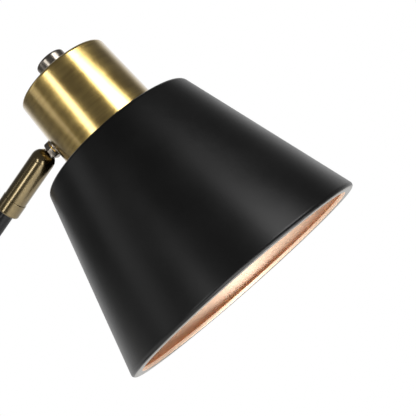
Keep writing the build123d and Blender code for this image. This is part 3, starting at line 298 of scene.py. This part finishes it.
def spinning_tree():
    """Geometry Nodes tree that spins the half profile it is given about Z. It keeps, for each
    point, which way round it lies and how far along the profile, for finishes worked on a lathe."""
    tree = bpy.data.node_groups.new("spin_half_profile", "GeometryNodeTree")
    face = tree.interface
    face.new_socket("Profile", in_out="INPUT", socket_type="NodeSocketGeometry")
    face.new_socket("Steps", in_out="INPUT", socket_type="NodeSocketInt")
    face.new_socket("Finish", in_out="INPUT", socket_type="NodeSocketMaterial")
    face.new_socket("Piece", in_out="OUTPUT", socket_type="NodeSocketGeometry")
    given = add(tree, "NodeGroupInput").outputs
    points = add(tree, "GeometryNodeAttributeDomainSize", {"Geometry": given["Profile"]})
    columns = add(tree, "ShaderNodeMath", {0: given["Steps"], 1: 1.0}, operation="ADD").outputs[0]
    grid = add(tree, "GeometryNodeMeshGrid", {"Size X": 1.0, "Size Y": 1.0,
                                              "Vertices X": points.outputs["Point Count"],
                                              "Vertices Y": columns})
    index = add(tree, "GeometryNodeInputIndex").outputs[0]
    across = add(tree, "ShaderNodeMath", {0: index, 1: columns}, operation="DIVIDE").outputs[0]
    along = add(tree, "ShaderNodeMath", {0: across}, operation="FLOOR").outputs[0]
    column = add(tree, "ShaderNodeMath", {0: index, 1: columns}, operation="MODULO").outputs[0]
    part_turn = add(tree, "ShaderNodeMath", {0: column, 1: given["Steps"]},
                    operation="DIVIDE").outputs[0]
    angle = add(tree, "ShaderNodeMath", {0: part_turn, 1: 2 * pi}, operation="MULTIPLY").outputs[0]
    east = add(tree, "ShaderNodeMath", {0: angle}, operation="COSINE").outputs[0]
    north = add(tree, "ShaderNodeMath", {0: angle}, operation="SINE").outputs[0]
    spot = add(tree, "GeometryNodeInputPosition").outputs[0]
    point = add(tree, "GeometryNodeSampleIndex", {"Geometry": given["Profile"], "Value": spot,
                                                  "Index": along}, data_type="FLOAT_VECTOR")
    run_name = add(tree, "GeometryNodeInputNamedAttribute", {"Name": "run"}, data_type="FLOAT")
    run = add(tree, "GeometryNodeSampleIndex", {"Geometry": given["Profile"],
                                                "Value": run_name.outputs[0], "Index": along},
              data_type="FLOAT").outputs[0]
    apart = add(tree, "ShaderNodeSeparateXYZ", {0: point.outputs[0]}).outputs
    x = add(tree, "ShaderNodeMath", {0: apart["X"], 1: east}, operation="MULTIPLY").outputs[0]
    y = add(tree, "ShaderNodeMath", {0: apart["X"], 1: north}, operation="MULTIPLY").outputs[0]
    turned_spot = add(tree, "ShaderNodeCombineXYZ", {"X": x, "Y": y, "Z": apart["Z"]}).outputs[0]
    turning = add(tree, "ShaderNodeCombineXYZ", {"X": east, "Y": north, "Z": run}).outputs[0]
    kept = add(tree, "GeometryNodeStoreNamedAttribute", {"Geometry": grid.outputs["Mesh"],
                                                         "Name": "turning", "Value": turning},
               data_type="FLOAT_VECTOR", domain="POINT")
    moved = add(tree, "GeometryNodeSetPosition", {"Geometry": kept.outputs[0],
                                                  "Position": turned_spot})
    merged = add(tree, "GeometryNodeMergeByDistance", {"Geometry": moved.outputs[0],
                                                       "Distance": SEAM_GAP})
    smooth = add(tree, "GeometryNodeSetShadeSmooth", {"Geometry": merged.outputs[0]})
    real = add(tree, "GeometryNodeRealizeInstances", {"Geometry": smooth.outputs[0]})
    done = add(tree, "GeometryNodeSetMaterial", {"Geometry": real.outputs[0],
                                                 "Material": given["Finish"]})
    add(tree, "NodeGroupOutput", {"Piece": done.outputs[0]})
    return tree


SPINNING = spinning_tree()


def made_by(tree, start, **sizes):
    """The plain mesh that a tree makes of a starting mesh, its named inputs set."""
    holder = bpy.data.objects.new("blank", start)
    bpy.context.scene.collection.objects.link(holder)
    work = holder.modifiers.new("work", "NODES")
    work.node_group = tree
    for item in tree.interface.items_tree:
        if item.in_out == "INPUT" and item.name in sizes:
            work[item.identifier] = sizes[item.name]
    bpy.context.view_layer.update()
    graph = bpy.context.evaluated_depsgraph_get()
    mesh = bpy.data.meshes.new_from_object(holder.evaluated_get(graph), preserve_all_data_layers=True,
                                           depsgraph=graph)
    holder.modifiers.clear()
    bpy.data.objects.remove(holder)
    return mesh


def wear(mesh, material):
    """Gives a whole mesh one finish."""
    mesh.materials.clear()
    mesh.materials.append(material)
    for polygon in mesh.polygons:
        polygon.material_index = 0


HARD_ANGLE = 35  # degrees between faces, past which their edge is drawn sharp


def settle(mesh, name, body, node, place):
    """Puts a finished mesh in its place on its body, instead of the fixed node it stands for."""
    work = bmesh.new()
    work.from_mesh(mesh)
    if work.calc_volume(signed=True) < 0:
        bmesh.ops.reverse_faces(work, faces=work.faces)
    work.to_mesh(mesh)
    work.free()
    mesh.transform(place)
    for polygon in mesh.polygons:
        polygon.use_smooth = True
    mesh.set_sharp_from_angle(angle=radians(HARD_ANGLE))
    mesh.name = name
    piece = bpy.data.objects.new(name, mesh)
    bpy.context.scene.collection.objects.link(piece)
    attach(piece, body)
    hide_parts(node)
    return piece


def turned(node, body, place, corners, material, steps=96, closed=False):
    """A piece spun from its half profile, standing for one fixed node."""
    points = half_profile(corners, closed)
    start = bpy.data.meshes.new("half_profile")
    spots = [(p.x * MM, 0, p.y * MM) for p in points]
    start.from_pydata(spots, [(i, i + 1) for i in range(len(spots) - 1)], [])
    run = start.attributes.new("run", "FLOAT", "POINT")
    length = 0.0
    for i, p in enumerate(points):
        length += (p - points[i - 1]).length * MM if i else 0.0
        run.data[i].value = length
    mesh = made_by(SPINNING, start, Steps=steps, Finish=material)
    wear(mesh, material)
    return settle(mesh, node + "_turned", body, node, place)


# Shade: a spun steel cone with a flat top and a hem turned in at the mouth.
SHADE_TOP, SHADE_MOUTH = -51.0, -161.5
SHADE_TOP_RADIUS, SHADE_MOUTH_RADIUS, SHADE_WALL = 51.6, 82.7, 0.8
SHADE_HOLE_RADIUS = 19.5
HEM_WIDTH, HEM_HEIGHT = 7.0, 2.4
# The lacquer takes this share of the hem's height from its end, and stops at the hole's edge.
HEM_SHARE_LACQUERED, LACQUER_STOP = 0.75, 0.4
PAINTED_REFLECTION_HEIGHT = 0.3  # the hem's face takes the painted reflection this far up
LACQUERED, PAINTED_REFLECTION = 1, 2  # the shade's second and third finishes; the third is a painted reflection


def spun_shade():
    """The shade with its hem: powder outside, lacquer inside, and silvery steel on the hem's face as a
    painted reflection.
    """
    slope = atan2(SHADE_MOUTH_RADIUS - SHADE_TOP_RADIUS, SHADE_TOP - SHADE_MOUTH)
    fall = tan(slope)
    level_wall = SHADE_WALL / cos(slope)
    hem = SHADE_MOUTH_RADIUS - HEM_WIDTH
    hem_end = SHADE_MOUTH + HEM_HEIGHT
    corners = [
        (SHADE_HOLE_RADIUS, SHADE_TOP),
        (SHADE_TOP_RADIUS, SHADE_TOP, 2.5),
        (SHADE_MOUTH_RADIUS, SHADE_MOUTH, 2.0),
        (hem, SHADE_MOUTH, 1.0),
        (hem - HEM_HEIGHT * fall, hem_end, 0.3),
        (hem - HEM_HEIGHT * fall + level_wall, hem_end, 0.3),
        (hem - SHADE_WALL * fall + level_wall, SHADE_MOUTH + SHADE_WALL, 0.2),
        (SHADE_MOUTH_RADIUS - level_wall - SHADE_WALL * fall, SHADE_MOUTH + SHADE_WALL, 1.2),
        (SHADE_TOP_RADIUS - level_wall + SHADE_WALL * fall, SHADE_TOP - SHADE_WALL, 1.7),
        (SHADE_HOLE_RADIUS, SHADE_TOP - SHADE_WALL),
    ]
    shade = turned("shade", "head", HEAD, corners, black_powder_coat, steps=192, closed=True)
    shade.data.materials.append(rose_copper_lacquer)
    shade.data.materials.append(painted_reflection_steel)
    level = HEAD.inverted()
    outside = half_profile(corners[:5])[:-1]
    outside_run = sum((b - a).length for a, b in zip(outside, outside[1:]))
    black_run = outside_run - HEM_HEIGHT * HEM_SHARE_LACQUERED
    runs = [value.vector.z / MM for value in shade.data.attributes["turning"].data]
    whole = max(runs)
    for polygon in shade.data.polygons:
        around = [runs[i] for i in polygon.vertices]
        mid = sum(around) / len(around)
        spread = max(around) - min(around)
        if black_run < mid < whole - LACQUER_STOP and spread < whole / 2:
            polygon.material_index = LACQUERED
        # Faces low on the hem get the silvery steel, a painted reflection of the sheen on black paint.
        elif (level @ polygon.center).z < (SHADE_MOUTH + PAINTED_REFLECTION_HEIGHT) * MM:
            polygon.material_index = PAINTED_REFLECTION


spun_shade()

# Cap: a spun brass cup that widens a little downwards, its top edge rolled over a small radius.
CAP_TOP_RADIUS, CAP_MOUTH_RADIUS, CAP_WALL = 30.3, 32.2, 1.2
CAP_TOP_RADIUS_INSIDE = 29.145
turned("cap", "head", HEAD,
       [(0, 0), (CAP_TOP_RADIUS, 0, 1.6), (CAP_MOUTH_RADIUS, SHADE_TOP, 0.3),
        (CAP_MOUTH_RADIUS - CAP_WALL, SHADE_TOP, 0.3), (CAP_TOP_RADIUS_INSIDE, -CAP_WALL, 0.8),
        (0, -CAP_WALL)], brushed_antique_brass, steps=160)

# Knob: a plain round knob with an eased edge and a socket for the spindle.
KNOB_RADIUS, KNOB_FOOT, KNOB_TOP = 9.5, 2.0, 12.5
SOCKET_RADIUS, SPINDLE_RADIUS, SPINDLE_TOP, SPINDLE_FOOT = 3.2, 3.0, 10.0, -8.9
turned("switch_knob", "knob", HEAD,
       [(0, KNOB_TOP), (KNOB_RADIUS, KNOB_TOP, 1.4), (KNOB_RADIUS, KNOB_FOOT, 0.4),
        (SOCKET_RADIUS, KNOB_FOOT, 0.1), (SOCKET_RADIUS, SPINDLE_TOP), (0, SPINDLE_TOP)],
       black_nickel, steps=96)
turned("switch_spindle", "knob", HEAD,
       [(0, SPINDLE_TOP), (SPINDLE_RADIUS, SPINDLE_TOP), (SPINDLE_RADIUS, SPINDLE_FOOT, 0.3),
        (0, SPINDLE_FOOT)], zinc_plate, steps=48)

# Arm tubes: straight, their cut ends eased inside the feet and the fork.
TUBE_RADIUS, TUBE_BORE_RADIUS, TUBE_START = 5.0, 4.0, 20.0
LOWER_TUBE_END, UPPER_TUBE_END = 220.0, 208.6
for name, body, place, end in (("lower_arm_tube", "lower_arm", LOWER_ARM, LOWER_TUBE_END),
                               ("upper_arm_tube", "upper_arm", UPPER_ARM, UPPER_TUBE_END)):
    turned(name, body, place,
           [(TUBE_RADIUS, TUBE_START, 0.3), (TUBE_RADIUS, end, 0.3), (TUBE_BORE_RADIUS, end, 0.2),
            (TUBE_BORE_RADIUS, TUBE_START, 0.2)], black_powder_coat, steps=64, closed=True)

# Collar: the short ring below the sleeve, with the hollow spigot that the sleeve turns on.
COLLAR_RADIUS, COLLAR_FOOT, COLLAR_TOP, TUBE_STOP = 7.7, -38.9, -29.3, -31.4
SPIGOT_RADIUS, SPIGOT_BORE_RADIUS, SPIGOT_TOP = 5.15, 3.0, -15.3
turned("swivel_collar", "upper_arm", SWIVEL,
       [(TUBE_RADIUS, COLLAR_FOOT, 0.2), (COLLAR_RADIUS, COLLAR_FOOT, 1.2),
        (COLLAR_RADIUS, COLLAR_TOP, 0.35), (SPIGOT_RADIUS, COLLAR_TOP, 0.2),
        (SPIGOT_RADIUS, SPIGOT_TOP, 0.5), (SPIGOT_BORE_RADIUS, SPIGOT_TOP, 0.2),
        (SPIGOT_BORE_RADIUS, TUBE_STOP), (TUBE_RADIUS, TUBE_STOP)],
       polished_antique_brass, steps=96, closed=True)

# Base: a spun cover over its weight, on a felt pad, with the turned seat for the post.
PAD_RADIUS, PAD_HEIGHT = 90.0, 2.0
COVER_RADIUS, COVER_TOP, COVER_WALL, COVER_HOLE_RADIUS = 95.0, 22.0, 1.2, 5.3
SEAT_RADIUS, SEAT_TOP, SEAT_BORE_RADIUS = 20.0, 26.0, 5.0
JOURNAL_RADIUS, JOURNAL_TOP = 7.2, 44.0
WASHER_RADIUS, WASHER_HOLE_RADIUS, WASHER_TOP = 10.6, 7.5, 26.8
turned("base_cover", "base", UPRIGHT,
       [(COVER_HOLE_RADIUS, COVER_TOP), (COVER_RADIUS, COVER_TOP, 6.0),
        (COVER_RADIUS, PAD_HEIGHT, 0.4), (COVER_RADIUS - COVER_WALL, PAD_HEIGHT, 0.3),
        (COVER_RADIUS - COVER_WALL, COVER_TOP - COVER_WALL, 4.8),
        (COVER_HOLE_RADIUS, COVER_TOP - COVER_WALL)], black_powder_coat, steps=192, closed=True)
turned("base_pad", "base", UPRIGHT,
       [(0, PAD_HEIGHT), (PAD_RADIUS, PAD_HEIGHT, 0.5), (PAD_RADIUS, 0, 0.5), (0, 0)],
       wool_felt, steps=128)
turned("swivel_seat", "base", UPRIGHT,
       [(SEAT_BORE_RADIUS, COVER_TOP), (SEAT_RADIUS, COVER_TOP, 0.2), (SEAT_RADIUS, SEAT_TOP, 1.5),
        (JOURNAL_RADIUS, SEAT_TOP), (JOURNAL_RADIUS, JOURNAL_TOP, 0.5),
        (SEAT_BORE_RADIUS, JOURNAL_TOP)], brushed_antique_brass, steps=128, closed=True)
turned("post_washer", "post", UPRIGHT,
       [(WASHER_HOLE_RADIUS, SEAT_TOP, 0.1), (WASHER_RADIUS, SEAT_TOP, 0.25),
        (WASHER_RADIUS, WASHER_TOP, 0.25), (WASHER_HOLE_RADIUS, WASHER_TOP, 0.1)],
       bright_brass, steps=96, closed=True)

# ---------------------------------------------------------------- bulb
BULB_CENTRE, BULB_RADIUS, BULB_FLANK = -110.5, 30.0, -60.5
BULB_NECK, BULB_NECK_TOP = 12.7, -54.5
BULB_STEPS = 28


def bulb_corners():
    """Half profile of the opal envelope: round end, straight flank tangent to it, short neck."""
    rise = BULB_FLANK - BULB_CENTRE
    touch = atan2(rise, BULB_NECK) - acos(BULB_RADIUS / hypot(rise, BULB_NECK))
    turns = [-pi / 2 + (touch + pi / 2) * step / BULB_STEPS for step in range(BULB_STEPS + 1)]
    round_end = [(BULB_RADIUS * cos(turn), BULB_CENTRE + BULB_RADIUS * sin(turn)) for turn in turns]
    return [*round_end, (BULB_NECK, BULB_FLANK), (BULB_NECK, BULB_NECK_TOP), (0, BULB_NECK_TOP)]


turned("bulb_glass", "head", HEAD, bulb_corners(), opal_glass, steps=96)


# ---------------------------------------------------------------- milled and pressed pieces
CORNER_GAP = 2e-6  # metres, within which corners of loose triangles become one
FLAT_ANGLE, BROKEN_ANGLE = 0.4, 28  # faces flatter than the first join; edges past the second break


def eased(node, body, material, width):
    """A merged copy of a fixed node with its hard edges broken, standing for it. At no width it
    is merged only."""
    work = bmesh.new()
    work.from_mesh(frame["nodes"][node].data)
    bmesh.ops.remove_doubles(work, verts=work.verts, dist=CORNER_GAP)
    if width:
        bmesh.ops.dissolve_limit(work, angle_limit=radians(FLAT_ANGLE), verts=work.verts,
                                 edges=work.edges)
        hard = [edge for edge in work.edges
                if len(edge.link_faces) == 2 and edge.calc_face_angle(0) > radians(BROKEN_ANGLE)]
        bmesh.ops.bevel(work, geom=hard, offset=width * MM, segments=2, profile=0.6, affect="EDGES",
                        clamp_overlap=True)
    mesh = bpy.data.meshes.new(node)
    work.to_mesh(mesh)
    work.free()
    wear(mesh, material)
    return settle(mesh, node + "_eased", body, node, UPRIGHT)


SLEEVE_RADIUS = 7.4
ON_THE_OUTSIDE = 0.03  # a corner this near the sleeve's radius lies on its turned outside
FACING_OUT = 0.8  # and its face points within about 37 degrees of straight out


def round_nosed_sleeve():
    """The sleeve's own mesh, merged, its turned outside and round nose shaded exactly round."""
    sleeve = eased("swivel_sleeve", "swivel", polished_antique_brass, 0.0)
    level = SWIVEL.inverted()
    normals = []
    for polygon in sleeve.data.polygons:
        for i in polygon.vertices:
            spot = level @ sleeve.data.vertices[i].co
            out = Vector((spot.x, spot.y, max(spot.z, 0.0)))
            straight_out = (SWIVEL.to_3x3() @ out).normalized()
            on_radius = abs(out.length - SLEEVE_RADIUS * MM) < ON_THE_OUTSIDE * MM
            outside = on_radius and straight_out.dot(polygon.normal) > FACING_OUT
            normals.append(straight_out if outside else polygon.normal)
    sleeve.data.normals_split_custom_set(normals)


round_nosed_sleeve()

# Nodes, the body they ride on, their finish and the width of their broken edges; thin nylon
# washers are left square.
EASED = (
    (("post",), "post", polished_antique_brass, 0.3),
    (("post_stop_screw",), "post", black_nickel, 0.15),
    (("shoulder_bolt", "shoulder_cap_nut"), "post", polished_antique_brass, 0.2),
    (("shoulder_friction_washers",), "post", milky_nylon, 0.0),
    (("lower_arm_foot", "elbow_fork"), "lower_arm", polished_antique_brass, 0.3),
    (("elbow_bolt", "elbow_cap_nut"), "lower_arm", polished_antique_brass, 0.2),
    (("elbow_friction_washers",), "lower_arm", milky_nylon, 0.0),
    (("upper_arm_foot",), "upper_arm", polished_antique_brass, 0.3),
    (("swivel_pin",), "swivel", polished_antique_brass, 0.12),
    (("swivel_stop_screw",), "swivel", black_nickel, 0.1),
    (("swivel_friction_washers",), "swivel", milky_nylon, 0.0),
    (("swivel_stem",), "head", black_nickel, 0.25),
    (("swivel_nut", "swivel_saddle_washer"), "head", black_nickel, 0.15),
    (("swivel_washer",), "head", bright_brass, 0.12),
    (("switch_nut",), "head", zinc_plate, 0.12),
    (("shade_ring",), "head", phenolic, 0.2),
    (("lampholder",), "head", phenolic, 0.3),
    (("cord_grommet",), "base", black_rubber, 0.15),
)
for nodes, body, material, width in EASED:
    for node in nodes:
        eased(node, body, material, width)

# Pieces seen only through gaps keep the fixed node's own mesh.
KEPT = {
    zinc_plate: ("bottom_plate", "bottom_plate_screws", "base_lock_washer", "base_nut", "base_nipple",
                 "stem_bracket", "bracket_rivets", "stem_lock_washer", "stem_lock_nut",
                 "cap_floor_plate"),
    sand_cast_iron: ("base_weight",),
    drawn_brass: ("screw_shell", "centre_contact", "holder_terminals", "switch_tags"),
    phenolic: ("switch_body",),
    rolled_aluminium: ("bulb_cap",),
    black_glass: ("bulb_insulator",),
    soft_solder: ("bulb_tip",),
    wire_pvc: ("head_wires", "lower_arm_lead", "upper_arm_lead"),
}
for material, nodes in KEPT.items():
    for node in nodes:
        mesh = frame["nodes"][node].data
        if mesh.materials:
            for i in range(len(mesh.materials)):
                mesh.materials[i] = material
        else:
            mesh.materials.append(material)


# ---------------------------------------------------------------- stage and light
FLOOR_RADIUS = 1.4
FLOOR_CENTRE = (0.05, 0, -0.0002)  # under the middle of the lamp, a hair below its felt
FLOOR_FADE_START, FLOOR_FADE_END = 0.5, 1.1


def pale_floor():
    """A round pale floor that thins out to nothing towards its edge."""
    bpy.ops.mesh.primitive_circle_add(vertices=128, radius=FLOOR_RADIUS, fill_type="NGON")
    floor = bpy.context.object
    floor.name = "floor"
    floor.location = FLOOR_CENTRE
    material = new_material("pale_floor")
    tree = material.node_tree
    place = add(tree, "ShaderNodeTexCoord").outputs["Object"]
    out = add(tree, "ShaderNodeVectorMath", {0: place}, operation="LENGTH").outputs["Value"]
    gone = add(tree, "ShaderNodeMapRange", {"Value": out, "From Min": FLOOR_FADE_START,
                                            "From Max": FLOOR_FADE_END},
               interpolation_type="SMOOTHSTEP")
    pale = add(tree, "ShaderNodeBsdfPrincipled", {"Base Color": colour("#f2f2f1"), "Roughness": 0.7,
                                                  "Specular IOR Level": 0.2,
                                                  "Emission Color": colour("#ffffff"),
                                                  "Emission Strength": 0.5})
    clear = add(tree, "ShaderNodeBsdfTransparent")
    both = add(tree, "ShaderNodeMixShader", {0: gone.outputs[0], 1: pale.outputs[0],
                                             2: clear.outputs[0]})
    add(tree, "ShaderNodeOutputMaterial", {"Surface": both.outputs[0]})
    floor.data.materials.append(material)


# The air's light grows from dim to full between these cosines of the angle from straight beyond.
AIR_DIM_AT, AIR_FULL_AT, AIR_DIM = 0.5, 0.97, 0.15


def studio_air():
    """White all round to the eye; as light, bright beyond the lamp and dim in front of it."""
    world = bpy.data.worlds.new("studio")
    bpy.context.scene.world = world
    world.use_nodes = True
    tree = world.node_tree
    tree.nodes.clear()
    way = add(tree, "ShaderNodeTexCoord").outputs["Generated"]
    beyond = add(tree, "ShaderNodeVectorMath", {0: way, 1: tuple(AHEAD)}, operation="DOT_PRODUCT")
    light = add(tree, "ShaderNodeMapRange", {"Value": beyond.outputs["Value"],
                                             "From Min": AIR_DIM_AT, "From Max": AIR_FULL_AT,
                                             "To Min": AIR_DIM, "To Max": 1.0},
                interpolation_type="SMOOTHSTEP")
    seen = add(tree, "ShaderNodeLightPath").outputs["Is Camera Ray"]
    strength = add(tree, "ShaderNodeMix", {0: seen, 2: light.outputs[0], 3: 1.0}, data_type="FLOAT")
    air = add(tree, "ShaderNodeBackground", {"Color": (1, 1, 1, 1), "Strength": strength.outputs[0]})
    add(tree, "ShaderNodeOutputWorld", {"Surface": air.outputs[0]})


HEAD_MIDDLE = HEAD @ Vector((0, 0, -0.05))


def softbox(name, azimuth, elevation, wide, tall, brightness, distance=1.6):
    """Area light aimed at the head, its size and distance in metres. Azimuth 0 is behind the
    camera, positive to its right; its own brightness doesn't change with its size."""
    a, e = radians(azimuth), radians(elevation)
    way = (RIGHT * sin(a) * cos(e) + UP * sin(e) - AHEAD * cos(a) * cos(e)).normalized()
    light = bpy.data.lights.new(name, "AREA")
    light.shape = "RECTANGLE"
    light.size = wide
    light.size_y = tall
    light.energy = brightness * pi * wide * tall
    lamp = bpy.data.objects.new(name, light)
    bpy.context.scene.collection.objects.link(lamp)
    lamp.location = HEAD_MIDDLE + way * distance
    lamp.visible_camera = False
    lamp.rotation_mode = "QUATERNION"
    lamp.rotation_quaternion = (-way).to_track_quat("-Z", "Y")


pale_floor()
studio_air()
# Azimuth, elevation, width, height and brightness: a key high on the right, a strip that draws the
# streak down the brass, a faint panel at the left, and the light that a pale desk sends back up.
softbox("key_softbox", 37, 52, 0.95, 0.45, 9.0)
softbox("strip_softbox", -38, -2, 0.27, 0.8, 6.5)
softbox("side_panel", -79, -4, 0.5, 0.9, 0.9)
softbox("desk_bounce", 50, -30, 1.4, 0.5, 5.0, distance=0.74)
bpy.context.scene.view_settings.view_transform = "Standard"
